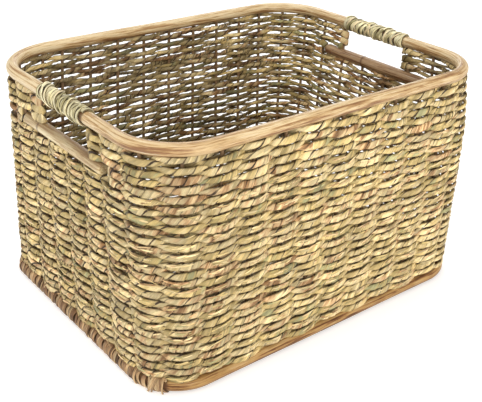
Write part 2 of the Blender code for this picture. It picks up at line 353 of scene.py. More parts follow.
class Nodes:
    """A short way to write a node material."""

    def __init__(self, name):
        self.material = bpy.data.materials.new(name)
        self.material.use_nodes = True
        self.tree = self.material.node_tree
        self.shader = self.tree.nodes["Principled BSDF"]

    def node(self, kind, **values):
        made = self.tree.nodes.new("ShaderNode" + kind)
        for key, value in values.items():
            setattr(made, key, value)
        return made

    def wire(self, source, target):
        self.tree.links.new(source, target)

    def feed(self, socket, value):
        """Links a socket to the value, or sets it."""
        if isinstance(value, bpy.types.NodeSocket):
            self.wire(value, socket)
        else:
            socket.default_value = value

    def attribute(self, name, vector=False):
        read = self.node("Attribute", attribute_name=name)
        return read.outputs["Vector" if vector else "Fac"]

    def parts(self, vector):
        """The X, Y and Z of a vector."""
        made = self.node("SeparateXYZ")
        self.wire(vector, made.inputs[0])
        return made.outputs

    def scaled(self, vector, scale):
        product = self.node("VectorMath", operation="MULTIPLY")
        self.feed(product.inputs[0], vector)
        product.inputs[1].default_value = scale
        return product.outputs[0]

    def noise(self, vector, scale, detail=3.0, roughness=0.6, distortion=0.0):
        texture = self.node("TexNoise")
        self.wire(self.scaled(vector, scale), texture.inputs["Vector"])
        texture.inputs["Scale"].default_value = 1.0
        texture.inputs["Detail"].default_value = detail
        texture.inputs["Roughness"].default_value = roughness
        texture.inputs["Distortion"].default_value = distortion
        return texture.outputs["Fac"]

    def maths(self, operation, first, second=0.0, clamp=False):
        made = self.node("Math", operation=operation, use_clamp=clamp)
        self.feed(made.inputs[0], first)
        self.feed(made.inputs[1], second)
        return made.outputs[0]

    def span(self, value, low, high, new_low=0.0, new_high=1.0):
        """Maps low to high onto the new range, and holds the ends beyond it."""
        made = self.node("MapRange")
        self.wire(value, made.inputs["Value"])
        made.inputs["From Min"].default_value = low
        made.inputs["From Max"].default_value = high
        made.inputs["To Min"].default_value = new_low
        made.inputs["To Max"].default_value = new_high
        return made.outputs["Result"]

    def ramp(self, value, stops):
        made = self.node("ValToRGB")
        self.wire(value, made.inputs["Fac"])
        elements = made.color_ramp.elements
        while len(elements) < len(stops):
            elements.new(0.5)
        for element, (place, colour) in zip(elements, stops):
            element.position = place
            element.color = (*colour, 1.0)
        return made.outputs["Color"]

    def mix(self, factor, first, second):
        made = self.node("Mix", data_type="RGBA", blend_type="MIX")
        self.feed(made.inputs["Factor"], factor)
        self.feed(made.inputs["A"], first)
        self.feed(made.inputs["B"], (*second, 1.0))
        return made.outputs["Result"]

    def finish(self, colour, roughness, height=None, bump=0.3, distance=0.001, specular=0.4):
        self.feed(self.shader.inputs["Base Color"], colour)
        self.feed(self.shader.inputs["Roughness"], roughness)
        self.shader.inputs["Specular IOR Level"].default_value = specular
        if height is not None:
            made = self.node("Bump")
            made.inputs["Strength"].default_value = bump
            made.inputs["Distance"].default_value = distance
            self.wire(height, made.inputs["Height"])
            self.wire(made.outputs["Normal"], self.shader.inputs["Normal"])
        return self.material


def leaf_colour(make, grain, stops):
    """The colour of each strip of leaf, with patches along it."""
    patches = make.noise(grain, (60.0, 0.35, 0.35), detail=2.0)
    patches = make.span(patches, 0.3, 0.7, -0.26, 0.26)
    return make.ramp(make.maths("ADD", make.attribute("hue"), patches, clamp=True), stops)


def leaf_level(make, grain, fibres, tone):
    """How pale the leaf is: folds differ from each other, and fibres run along them."""
    folds = make.node("TexVoronoi", feature="F1")
    make.wire(make.scaled(grain, (75.0, 0.6, 0.6)), folds.inputs["Vector"])
    folds.inputs["Scale"].default_value = 1.0
    fold_tone = make.node("SeparateColor")
    make.wire(folds.outputs["Color"], fold_tone.inputs[0])
    level = make.maths("MULTIPLY", make.span(fold_tone.outputs[0], 0.0, 1.0, 0.69, 1.25),
                       make.span(fibres, 0.32, 0.68, 0.76, 1.21))
    return make.maths("MULTIPLY", level, make.span(tone, 0.0, 1.0, 0.75, 1.32))


def leaf_seam(make, grain, seams):
    """The crease under the leaf's free edge, which comes and goes along the strand: a groove in the bump, and
    painted shade in the colour.
    """
    wobble = make.noise(grain, (150.0, 0.0, 0.0), detail=2.0)
    seam_at = make.maths("ADD", make.parts(grain)[1], make.span(wobble, 0.3, 0.7, -0.06, 0.04))
    seam = make.span(seam_at, 0.875, 0.945)
    strength = make.noise(grain, (60.0, 0.0, 0.0), detail=1.0)
    return make.maths("MULTIPLY", seam, make.span(strength, 0.38, 0.55, 0.30, seams))


def leaf_light(make, seam, tone, inner, edges, crevice):
    """How much painted shade the leaf takes, as a factor that falls from 1: painted shade in its seam, at its
    edges, on its inner face and towards the stakes.
    """
    outward, upward, depth = make.parts(make.attribute("facing", vector=True))
    # Painted shade at the strand's upper and lower edges, between the rows.
    edge = make.span(make.maths("ABSOLUTE", upward), 0.80, 1.0, 0.0, edges)
    # Painted shade on faces that look into the basket, less where the leaf is pale.
    hidden = make.span(outward, 0.15, -0.55, 0.0, inner)
    hidden = make.maths("MULTIPLY", hidden, make.span(tone, 0.5, 1.0, 1.0, 0.1))
    # Painted shade on faces that look into the wall, towards the stakes.
    across_wall = make.maths("MULTIPLY", make.maths("MULTIPLY", outward, depth), -1.0)
    hollow = make.span(across_wall, 0.35, 1.0, 0.0, crevice)
    light = make.maths("SUBTRACT", 1.0, make.maths("ADD", seam, edge), clamp=True)
    light = make.maths("MULTIPLY", light, make.maths("SUBTRACT", 1.0, hidden))
    return make.maths("MULTIPLY", light, make.maths("SUBTRACT", 1.0, hollow))


def leaf_material(name, stops, shade=1.0, seams=1.0, inner=0.52, edges=0.88, crevice=0.96):
    """Dried leaf strands: strips of different colours and fibres, with painted shade in the creases, at the
    edges, on hidden faces and towards the stakes.
    """
    make = Nodes(name)
    grain = make.attribute("grain", vector=True)
    tone = make.attribute("tone")
    fibres = make.noise(grain, (30.0, 5.0, 5.0), detail=5.0, roughness=0.70)
    fine = make.noise(grain, (110.0, 15.0, 15.0), detail=3.0)
    seam = leaf_seam(make, grain, seams)
    light = leaf_light(make, seam, tone, inner, edges, crevice)
    bright = make.node("HueSaturation")
    make.wire(leaf_colour(make, grain, stops), bright.inputs["Color"])
    level = leaf_level(make, grain, fibres, tone)
    make.wire(make.maths("MULTIPLY", level, shade), bright.inputs["Value"])
    # Painted shade: the colour is mixed towards dark brown where the leaf's light factor is low.
    with_painted_shade = make.mix(make.maths("SUBTRACT", 1.0, light), bright.outputs["Color"], LEAF_PAINTED_SHADE)
    height = make.maths("ADD", fibres, make.maths("MULTIPLY", fine, 0.5))
    height = make.maths("SUBTRACT", height, make.maths("MULTIPLY", seam, 0.8))
    return make.finish(with_painted_shade, 0.5, height, bump=0.6, distance=0.0010)


def cane_colour(make, grain, lines, upward, stops):
    """Long streaks in warmer and paler stretches, browner where the hue is low, and browner on the lower
    half, where the extra streaks are painted shade.
    """
    broad = make.noise(grain, (14.0, 0.9, 0.9), detail=3.0)
    streaks = make.noise(grain, (16.0, 2.6, 2.6), detail=4.0, roughness=0.7)
    place = make.maths("ADD", make.span(broad, 0.34, 0.66, 0.0, 0.40),
                       make.span(lines, 0.32, 0.68, -0.16, 0.42))
    place = make.maths("ADD", place, make.span(streaks, 0.46, 0.62, 0.0, 0.70))
    # Streaks darken the lower half more: painted shade for the pole's underside, on top of its own streaks.
    low = make.maths("MULTIPLY", make.span(upward, 0.35, -0.35),
                     make.span(streaks, 0.40, 0.58, 0.0, 0.35))
    faded = make.span(make.attribute("hue"), 0.0, 1.0, -0.40, 0.40)
    place = make.maths("SUBTRACT", make.maths("ADD", place, low), faded, clamp=True)
    return make.ramp(place, stops)


def cane_material(name, stops, inner=0.0, scuffs=0.5, shadow=0.50, gloss=0.5):
    """Peeled rattan: long grain, warmer stretches, dark pores and pale scuffs, with painted shade on the
    hidden inner side and the underside.
    """
    make = Nodes(name)
    grain = make.attribute("grain", vector=True)
    outward, upward, _ = make.parts(make.attribute("facing", vector=True))
    lines = make.noise(grain, (24.0, 7.0, 7.0), detail=6.0, roughness=0.8, distortion=0.4)
    colour = cane_colour(make, grain, lines, upward, stops)
    pores = make.noise(grain, (80.0, 14.0, 14.0), detail=2.0)
    colour = make.mix(make.span(pores, 0.60, 0.72, 0.0, 0.6), colour, (0.16, 0.08, 0.03))
    scuff = make.noise(grain, (30.0, 4.0, 4.0), detail=4.0)
    colour = make.mix(make.span(scuff, 0.60, 0.72, 0.0, scuffs), colour, (0.88, 0.80, 0.62))
    # Painted shade: the hidden inner side and the underside are mixed towards dark brown.
    hidden = make.span(outward, 0.30, -0.60, 0.0, inner)
    under = make.span(upward, 0.05, -0.90, 0.0, shadow)
    colour = make.mix(make.maths("MAXIMUM", hidden, under), colour, (0.14, 0.065, 0.025))
    # Where the tone is low the pole is painted dark: a node's own dark ring, and painted shade under the
    # wrappings.
    node_ring_and_wrap_shade = make.span(make.attribute("tone"), 0.0, 0.5, 0.92, 0.0)
    colour = make.mix(node_ring_and_wrap_shade, colour, (0.10, 0.045, 0.02))
    height = make.maths("ADD", lines, make.maths("MULTIPLY", pores, 0.4))
    return make.finish(colour, 0.42, height, bump=0.35, distance=0.0008, specular=gloss)


def stake_material():
    """Bare stakes, dark with age, with grain up them."""
    make = Nodes("stake_cane")
    where = make.node("TexCoord").outputs["Object"]
    grain = make.noise(where, (700.0, 700.0, 30.0), detail=4.0)
    stains = make.noise(where, (40.0, 40.0, 25.0), detail=2.0)
    place = make.maths("ADD", make.span(grain, 0.3, 0.7, 0.0, 0.6),
                       make.span(stains, 0.35, 0.65, 0.0, 0.4))
    colour = make.ramp(place, [(0.0, (0.30, 0.19, 0.10)), (0.6, (0.20, 0.12, 0.06)),
                               (1.0, (0.09, 0.05, 0.02))])
    return make.finish(colour, 0.65, grain, bump=0.3, distance=0.0005)


OLIVE = (0.42, 0.39, 0.19)
KHAKI = (0.52, 0.39, 0.15)
STRAW = (0.69, 0.51, 0.22)
PALE_STRAW = (0.84, 0.68, 0.37)
ROSY_TAN = (0.68, 0.43, 0.21)
BROWN = (0.34, 0.18, 0.07)
# The dark brown of the leaf's painted shade.
LEAF_PAINTED_SHADE = (0.040, 0.020, 0.007)

SEAGRASS = leaf_material("seagrass_leaf", [(0.0, OLIVE), (0.14, KHAKI), (0.40, STRAW), (0.68, PALE_STRAW),
                                           (0.90, ROSY_TAN), (1.0, BROWN)])
FLOOR_LEAF = leaf_material("floor_leaf", [(0.0, OLIVE), (0.3, KHAKI), (0.7, STRAW), (1.0, ROSY_TAN)],
                           shade=0.8, inner=0.0, edges=0.2, crevice=0.0)
PALE_WRAP = leaf_material("pale_wrap", [(0.0, (0.36, 0.31, 0.14)), (0.3, (0.64, 0.55, 0.29)),
                                        (0.65, (0.94, 0.86, 0.56)), (1.0, (0.80, 0.64, 0.38))],
                          seams=0.0, inner=0.0, edges=1.0, crevice=0.0)
BROWN_WRAP = leaf_material("brown_wrap", [(0.0, (0.12, 0.06, 0.025)), (0.35, (0.28, 0.15, 0.07)),
                                          (0.7, (0.47, 0.30, 0.15)), (1.0, (0.66, 0.50, 0.28))],
                           seams=0.0, inner=0.0, edges=1.0, crevice=0.0)
RIM_CANE = cane_material("rim_cane", [(0.0, (0.80, 0.64, 0.39)), (0.30, (0.66, 0.47, 0.24)),
                                      (0.65, (0.45, 0.26, 0.10)), (1.0, (0.24, 0.11, 0.04))], shadow=0.30)
PALE_CANE = cane_material("pale_cane", [(0.0, (0.84, 0.74, 0.48)), (0.35, (0.76, 0.63, 0.37)),
                                        (0.70, (0.64, 0.48, 0.25)), (1.0, (0.42, 0.27, 0.12))], inner=0.1)
# The far bar's cane is a darker copy of the near bar's: its darkness is painted shade.
SHADED_BAR_CANE = cane_material("bar_cane", [(0.0, (0.66, 0.48, 0.29)), (0.35, (0.54, 0.36, 0.20)),
                                      (0.70, (0.40, 0.24, 0.12)), (1.0, (0.20, 0.09, 0.04))], inner=0.20)
BASE_CANE = cane_material("base_cane", [(0.0, (0.57, 0.37, 0.16)), (0.4, (0.42, 0.24, 0.08)),
                                        (0.7, (0.25, 0.11, 0.04)), (1.0, (0.08, 0.03, 0.010))],
                          scuffs=0.30, shadow=0.80, gloss=0.2)
STAKE_CANE = stake_material()


# Stakes: where they stand, in s, found from the frame's own solids.

def stake_foot(node):
    """The middle of a stake's lower end."""
    mesh = nodes[node].data
    points = np.empty(len(mesh.vertices) * 3)
    mesh.vertices.foreach_get("co", points)
    points = points.reshape(-1, 3)
    return points[points[:, 2] < points[:, 2].min() + 0.002].mean(axis=0)


def place_on_wall(point):
    """The s of the place on the wall that is nearest to a point."""
    s = np.arange(0, PERIMETER, 0.0002)
    gap = np.linalg.norm(wall(s, point[2], np.zeros_like(s)) - point, axis=1)
    return s[np.argmin(gap)]


stake_s = np.sort([place_on_wall(stake_foot(name)) for name in STAKE_NODES])
STAKES = len(stake_s)
stake_knots = np.concatenate([stake_s - PERIMETER, stake_s, stake_s + PERIMETER, stake_s + 2 * PERIMETER])


def stake_count(s):
    """How many stakes have been passed, with fractions between them."""
    turns = np.floor(s / PERIMETER)
    within = s - turns * PERIMETER
    return np.interp(within, stake_knots, np.arange(-STAKES, 3 * STAKES)) + STAKES * turns


def side_stake(y, side):
    """The place of the short-side stake nearest to y, on the right side (1) or the left side (-1)."""
    return stake_s[np.argmin(np.abs(stake_s - place_on_wall(np.array([side * BAR_X, y, BAR_Z]))))]


def opening_reach(front, side):
    """How far a turn goes past the edge stake, so that it ends at the edge of the hand hold."""
    low, high = HAND_HOLDS["hand_hold_" + SIDE_NAMES[side]]
    edge = low[1] - HAND_HOLD_MARGIN if front < 0 else high[1] + HAND_HOLD_MARGIN
    stake = side_stake(front * OPENING_STAKE, side)
    return abs(stake - place_on_wall(np.array([side * BAR_X, edge, BAR_Z]))) - STRAND_THICKNESS


# The strand's path: arrays of s, out, z, and how far it is into a turn back, from 0 to 1.

def row_height(level, s):
    """The height of a strand's middle: rows lie level at the rim and the base, and tilt and wave between."""
    share = np.clip(level / (FULL_ROWS + BAR_ROWS), 0, 1)
    slack = np.sin(math.pi * share)
    angle = 2 * math.pi * s / PERIMETER
    wave = (0.0012 * np.sin(3 * angle + 1.0 + 3.0 * share) + 0.0009 * np.sin(5 * angle + 2.4 - 4.0 * share)
            + 0.0006 * np.sin(9 * angle + 0.5 + 7.0 * share))
    tilt = -0.0015 * np.cos(angle - 2.25)
    return FIRST_ROW_Z + ROW_PITCH * level + slack * (tilt + wave)


def swing(row, s):
    """How far out the strand is: in front of one stake, behind the next, the other way on the next row."""
    return STRAND_SWING * np.cos(math.pi * (STAKES * row + stake_count(s)))


def spiral(first_row, rows):
    """The strand where it goes all the way round; it steps up to the next row at the middle of the back."""
    s = np.arange(first_row * PERIMETER, (first_row + rows) * PERIMETER + STEP, STEP)
    s = s[s < FULL_ROWS * PERIMETER]
    turns = s / PERIMETER
    row = np.floor(turns)
    climb = np.clip((turns - row - 0.90) / 0.10, 0, 1)
    if first_row + rows >= FULL_ROWS:
        climb = np.where(row == FULL_ROWS - 1, 0, climb)
    level = row + smooth(climb)
    return s, swing(np.zeros_like(s), s), row_height(level, s), np.zeros_like(s)


def turn_back(row, edge, direction, reach):
    """The bend from a row's end up to the next row, round the edge stake."""
    bend = np.linspace(0, math.pi, 9)[1:-1]
    edge = np.array([edge])
    s = edge + direction * reach * np.sin(bend)
    out = swing(row, edge) * np.cos(bend)
    rise = bend / math.pi
    z = row_height(row, edge) * (1 - rise) + row_height(row + 1, edge) * rise
    return s, out, z, np.ones_like(bend)


def back_and_forth(rows, start, end, reach_start, reach_end):
    """The strand where it turns back at each end of a row, some way past the edge stake."""
    parts = []
    edge_from, edge_to = start, end
    reach_from, reach_to = reach_start, reach_end
    for row in rows:
        s = np.linspace(edge_from, edge_to, int(abs(edge_to - edge_from) / STEP))
        to_edge = np.minimum(np.abs(s - start), np.abs(s - end))
        turning = 1 - np.clip(to_edge / TURN_LENGTH, 0, 1)
        parts.append((s, swing(row, s), row_height(row, s), turning))
        if row != rows[-1]:
            parts.append(turn_back(row, edge_to, np.sign(edge_to - edge_from), reach_to))
        edge_from, edge_to = edge_to, edge_from
        reach_from, reach_to = reach_to, reach_from
    return [np.concatenate(values) for values in zip(*parts)]


# The strand itself. It is tight and full on the left and the front, looser and more uneven on the right
# and the back, paler on the right wall, where painted light brightens its inner face, and browner at the near
# corner.

def strand_half_up(rng, along, share, out, turning, loose):
    """Half the strand's height: full in front of and behind a stake, pressed thin where it crosses."""
    fullness = np.clip(np.abs(out) / STRAND_SWING / 0.42, 0, 1)
    fullness = np.maximum(smooth(fullness), turning)
    by_right_wall = near(share, RIGHT_WALL, 0.10)
    tight = 1 - loose
    tall = np.where(out > 0, 0.0028 + 0.0012 * tight, 0.0026 + 0.0008 * tight) - 0.0004 * by_right_wall
    crossing = 0.0020 + 0.0005 * tight - 0.0004 * by_right_wall
    half_up = (crossing + (tall - crossing) * fullness) * (1 + wander(rng, along, 0.022, 0.11))
    half_up = half_up * (1 + 0.05 * loose + loose * wander(rng, along, 0.013, 0.13))
    return half_up + 0.0026 * turning


def strand_tone(rng, along, share, turning):
    """How pale each place along the strand is, from 0 to 1."""
    aged = near(share, NEAR_CORNER, 0.048)
    by_right_wall = near(share, RIGHT_WALL, 0.10)
    # Near the right wall the tone is raised: painted light for the light that falls on that wall's inner
    # face.
    tone = 0.5 + wander(rng, along, 0.03, 0.28) - 0.50 * aged + 0.50 * by_right_wall - 0.15 * turning
    return np.clip(tone, 0, 1)


def strand_hue(rng, along, share, loose):
    """Where each place along the strand lies on the leaf's colours, from 0 to 1."""
    aged = near(share, NEAR_CORNER, 0.048)
    by_right_wall = near(share, RIGHT_WALL, 0.10)
    hue = 0.66 * pieces_along(rng, along, 0.08, 0.35) ** 0.8 + 0.14
    hue = hue + 0.10 * aged + 0.06 * by_right_wall + loose * wander(rng, along, 0.06, 0.20)
    return np.clip(hue + wander(rng, along, 0.02, 0.12), 0, 1)


def add_strand(strands, rng, s, out, z, turning, offset):
    """Adds a length of the strand: twisted, uneven, and pressed against the stakes."""
    along = distances(wall(s, z, out))
    share = (s / PERIMETER) % 1.0
    loose = 1 - np.clip((share - TIGHT_FROM) / 0.04, 0, 1) * np.clip((FRONT_RIGHT - share) / 0.04, 0, 1)
    half_up = strand_half_up(rng, along, share, out, turning, loose)
    half_out = STRAND_THICKNESS * (1 + wander(rng, along, 0.03, 0.10))
    out = out * (1 - 0.4 * turning)
    z_shift = wander(rng, along, 0.035, 0.0006)
    out_shift = wander(rng, along, 0.03, 0.00035)
    points = wall(s, z + z_shift, out + out_shift)
    rate = np.exp(wander(rng, along, 0.03, 0.5))
    twist = 2 * math.pi / TWIST_PITCH * np.concatenate([[0.0], np.cumsum(np.diff(along) * rate[1:])])
    outward = np.cross(unit(np.gradient(points, axis=0)), same(len(points), (0.0, 0.0, 1.0)))
    heading = np.sign(np.gradient(s))
    outward = outward * np.where(heading == 0, 1.0, heading)[:, None]
    made = tube(points, outward, half_out, half_up, LEAF_ANGLES, LEAF_RADII, twist, square=0.72,
                depth=out / STRAND_SWING)
    tone = strand_tone(rng, along, share, turning)
    strands.add(made, tone, strand_hue(rng, along, share, loose), offset=offset)


def weave_round(rng):
    """The rows that go all the way round, a few to a piece. Returns the number of pieces."""
    number = 0
    for first_row in range(0, FULL_ROWS, ROWS_PER_PIECE):
        number += 1
        strands = Strands()
        rows = min(ROWS_PER_PIECE, FULL_ROWS - first_row)
        add_strand(strands, rng, *spiral(first_row, rows), offset=10.0 * number)
        strands.object(f"weave_rows_{number}", SEAGRASS, WEAVE_NODES)
    return number


def weave_top(rng, number):
    """The rows between the handles: along the front, then along the back."""
    bar_rows = list(range(FULL_ROWS, FULL_ROWS + BAR_ROWS))
    top_rows = list(range(FULL_ROWS + BAR_ROWS, ROWS))
    for part, front in (("front", -1), ("back", 1)):
        number += 1
        strands = Strands()
        for rows, edge in ((bar_rows, BAR_END_STAKE), (top_rows, OPENING_STAKE)):
            ends = side_stake(front * edge, -1), side_stake(front * edge, 1)
            reaches = [STRAND_SWING, STRAND_SWING]
            if edge == OPENING_STAKE:
                reaches = [opening_reach(front, -1), opening_reach(front, 1)]
            if part == "back":
                ends = ends[1], ends[0] + PERIMETER
                reaches = reaches[::-1]
            path = back_and_forth(rows, *ends, *reaches)
            add_strand(strands, rng, *path, offset=10.0 * number + edge * 40)
        strands.object("weave_top_" + part, SEAGRASS, WEAVE_NODES)


def stray_fibres():
    """Thin ends of leaf that stand off the outside of the wall."""
    rng = np.random.default_rng(17)
    strands = Strands()
    count = 9
    t = np.linspace(0, 1, count)
    for number in range(STRAY_FIBRES):
        length = rng.uniform(0.006, 0.018)
        s = rng.uniform(0, PERIMETER) + length * t * rng.choice((-1, 1))
        level = rng.uniform(1, FULL_ROWS - 2)
        z = row_height(level, s) + rng.uniform(-0.6, 0.6) * length * t
        out = 0.0058 + rng.uniform(0.0005, 0.0032) * t ** 1.5
        points, outward = wall_and_outward(s, z, out)
        size = rng.uniform(0.00022, 0.00045) * (1 - 0.7 * t)
        made = tube(points, outward, size, size * 1.8, round_angles(5))
        tone = np.full(count, rng.uniform(0.2, 0.9))
        hue = np.full(count, rng.uniform(0.1, 1.0))
        strands.add(made, tone, hue, offset=80.0 + number)
    strands.object("stray_fibres", SEAGRASS, WEAVE_NODES)


def flakes():
    """Short torn strips of leaf that lie along the outside of the strand."""
    rng = np.random.default_rng(29)
    strands = Strands()
    count = 8
    t = np.linspace(-0.5, 0.5, count)
    narrowing = np.clip((0.5 - np.abs(t)) / 0.22 + 0.12, 0, 1)
    made = 0
    while made < LEAF_FLAKES:
        middle = rng.uniform(0, FULL_ROWS * PERIMETER)
        if swing(0, np.array([middle]))[0] < 0.55 * STRAND_SWING:
            continue
        made += 1
        s = middle + rng.uniform(0.008, 0.020) * t
        lean = rng.uniform(-0.0008, 0.0022)
        z = row_height(middle / PERIMETER, s) + 2 * lean * t + rng.uniform(-0.0016, 0.0016)
        out = swing(0, s) + rng.uniform(0.0019, 0.0026)
        points, outward = wall_and_outward(s, z, out)
        wide = rng.uniform(0.0007, 0.0016) * narrowing
        turned = np.full(count, math.pi) + rng.uniform(-0.5, 0.5)
        strip = tube(points, outward, np.full(count, 0.00028), wide, round_angles(6), twist=turned)
        tone = np.full(count, rng.uniform(0.15, 1.0))
        hue = np.full(count, rng.uniform(0.1, 1.0))
        strands.add(strip, tone, hue, offset=300.0 + 0.37 * made)
    strands.object("leaf_flakes", SEAGRASS, WEAVE_NODES)


# Cane poles.

def hoop_path(z, half, corners, count):
    """Places round a hoop from its join, which lies under the wrapping on the right."""
    s = PERIMETER * (HOOP_JOIN + np.linspace(0, 1, count, endpoint=False))
    run, along = run_at(s)
    plan, outward = outline(run, along, same(count, half), same(count, corners))
    return np.column_stack([plan, np.full(count, z)]), np.column_stack([outward, np.zeros(count)])


def hoop(name, z, half, corners, radius, material, wrapped):
    """A bent pole, paler at the short sides and the back, and browner at the near corner.

    wrapped gives the Y span of the wrapping on each side, under which the pole is painted dark: painted shade
    in the gaps between the turns, and a thin dark edge just past the wrapping's ends.
    """
    count = 900
    points, outward = hoop_path(z, half, corners, count)
    size = radius * (1 + 0.02 * np.sin(np.linspace(0, 14 * math.pi, count)))
    made = tube(points, outward, size, size, round_angles(24), closed=True)
    tone = np.full(count, 0.5)
    # The tone drops under each wrapping: painted shade between the turns, and a thin dark edge just past the
    # ends.
    for side, (low, high) in wrapped.items():
        inside = np.minimum(points[:, 1] - low, high - points[:, 1])
        covered = np.clip(inside / 0.0012 + 0.6, 0, 1) * (side * points[:, 0] > 0)
        tone = np.minimum(tone, 0.5 - 0.46 * covered)
    across, back = (points[:, :2] / half).T
    faded = np.clip(0.35 + 0.45 * across ** 2 + 0.20 * back, 0, 1)
    worn = near(HOOP_JOIN + np.arange(count) / count, HOOP_WORN, 0.05)
    strands = Strands()
    strands.add(made, tone, 0.5 + 0.5 * faded - 0.30 * worn, closed=True)
    strands.object(name + "_pole", material, [name])


def bar(side, material, ring_at):
    """The pole under a hand hold, with cut ends and the dark ring of a node."""
    name = "handle_bar_" + SIDE_NAMES[side]
    low, high = size_of(name)
    count = 120
    y = np.linspace(low[1], high[1], count)
    points = np.column_stack([np.full(count, side * BAR_X), y, np.full(count, BAR_Z)])
    outward = same(count, (float(side), 0.0, 0.0))
    taper = np.clip(np.minimum(y - low[1], high[1] - y) / 0.004, 0, 1)
    node = np.exp(-((y - ring_at) / 0.0016) ** 2)
    size = BAR_RADIUS * (0.80 + 0.20 * taper ** 0.5) * (1 + 0.05 * node)
    made = tube(points, outward, size, size, round_angles(20))
    strands = Strands()
    strands.add(made, 0.5 - 0.45 * node, np.full(count, 0.4), offset=7.0 + side)
    strands.object("handle_bar_pole_" + SIDE_NAMES[side], material, [name])


# Wrappings: a strip wound round a pole.

WRAP_ANGLES = round_angles(12)
WRAP_RADII = np.array([1.0, 0.96, 1.05, 0.98, 1.0, 1.0, 1.0, 1.0, 1.0, 0.98, 1.04, 0.92])
BASE_WRAP_REACH = BASE_HALF[1] - BASE_CORNERS[0] * (1 - math.sin(math.pi / 4))


def winding(strands, rng, path, radius, pitch, half_width, half_thick, lean, jitter, offset,
            lowest=-1.0, pale_end=0.0):
    """Winds a strip round a path of middles and outward directions, no lower than the lowest height.

    The lean slants each turn, the jitter moves it along, and pale_end makes the first turns paler.
    """
    centre, outward = path
    up = same(len(centre), (0.0, 0.0, 1.0))
    along = distances(centre)
    t = np.linspace(0, along[-1], int(along[-1] / pitch * 30))
    angle = 2 * math.pi * t / pitch + 1.0
    slant = lean * (1 + wander(rng, angle, 7.0, 0.5))
    shift = slant * np.cos(angle - 0.6) + wander(rng, t, pitch * 0.9, jitter)
    t = np.clip(t + shift, 0.0015, along[-1] - 0.0015)
    middle, radial_a, radial_b = [
        np.column_stack([np.interp(t, along, values[:, axis]) for axis in range(3)])
        for values in (centre, outward, up)]
    radial = np.cos(angle)[:, None] * radial_a + np.sin(angle)[:, None] * radial_b
    thick = half_thick * (1 + wander(rng, angle, 3.0, 0.16))
    lift = radius + half_thick * 0.7 + 0.0004 * np.abs(wander(rng, angle, 3.0, 1.0))
    points = middle + radial * lift[:, None]
    wide = half_width * (1 + wander(rng, angle, 5.0, 0.20))
    points[:, 2] = np.maximum(points[:, 2], lowest + thick * 1.05)
    made = tube(points, radial, thick, wide, WRAP_ANGLES, WRAP_RADII, square=0.92)
    tone = np.clip(0.55 + wander(rng, angle, 5.0, 0.32), 0, 1)
    hue = np.clip(0.5 + wander(rng, angle, 5.5, 0.30) + pale_end * np.exp(-t / 0.05), 0, 1)
    strands.add(made, tone, hue, offset=offset)


def crossing_strip(strands, rng, side, start, reach, offset):
    """A thin strip that crosses the turns of a rim wrapping from its top inner side to its outer foot."""
    count = 26
    turn = np.linspace(2.2, -1.1, count)
    y = start + reach * np.linspace(0, 1, count) ** 1.2 + wander(rng, turn[::-1] + 1.2, 0.8, 0.0006)
    radial = np.column_stack([side * np.cos(turn), np.zeros(count), np.sin(turn)])
    middle = np.column_stack([np.full(count, side * RIM_HALF[0]), y, np.full(count, RIM_Z)])
    points = middle + radial * (RIM_RADIUS + 0.0034)
    made = tube(points, radial, np.full(count, 0.0009), np.full(count, 0.0014), WRAP_ANGLES, WRAP_RADII)
    tone = np.full(count, rng.uniform(0.5, 0.9))
    hue = np.full(count, rng.uniform(0.4, 0.8))
    strands.add(made, tone, hue, offset=offset)


def rim_wrap(side, crossings):
    """Pale turns round the rim over a hand hold; crossings are the start and reach of each crossing strip."""
    rng = np.random.default_rng(21 + side)
    name = "handle_wrap_" + SIDE_NAMES[side]
    low, high = size_of(name)
    count = 60
    y = np.linspace(low[1], high[1], count)
    centre = np.column_stack([np.full(count, side * RIM_HALF[0]), y, np.full(count, RIM_Z)])
    path = centre, same(count, (float(side), 0.0, 0.0))
    strands = Strands()
    winding(strands, rng, path, RIM_RADIUS, pitch=0.0049, half_width=0.0021, half_thick=0.0011,
            lean=0.0024, jitter=0.0014, offset=20.0 + side)
    winding(strands, rng, path, RIM_RADIUS + 0.0009, pitch=0.0088, half_width=0.0017, half_thick=0.0011,
            lean=-0.0044, jitter=0.0015, offset=24.0 + side)
    for number, (start, reach) in enumerate(crossings):
        crossing_strip(strands, rng, side, start, reach, 30.0 + side + number)
    strands.object("rim_winding_" + SIDE_NAMES[side], PALE_WRAP, [name])


def foot_strips(strands, rng, centre, outward, strips):
    """Loose ends that leave the first turns of a base wrapping, over the hoop and down to the ground."""
    count = 18
    passed = np.linspace(0, 1, count)
    turn = np.linspace(1.9, -0.9, count)
    for number in range(strips):
        start = rng.integers(0, 14)
        drift = passed ** 1.5 * rng.uniform(-0.010, 0.002)
        along = outward[start][[1, 0, 2]] * (-1, 1, 1)
        radial = np.cos(turn)[:, None] * outward[start] + np.sin(turn)[:, None] * (0.0, 0.0, 1.0)
        lift = BASE_RADIUS + 0.0026 + 0.0016 * passed ** 2
        points = centre[start] + radial * lift[:, None] + drift[:, None] * along
        points[:, 2] = np.maximum(points[:, 2], 0.0011)
        wide = rng.uniform(0.0012, 0.0019) * np.linspace(1.0, 0.5, count)
        made = tube(points, radial, np.full(count, 0.0008), wide, WRAP_ANGLES, WRAP_RADII)
        tone = np.full(count, rng.uniform(0.5, 1.0))
        hue = np.full(count, rng.uniform(0.6, 1.0))
        strands.add(made, tone, hue, offset=50.0 + number)


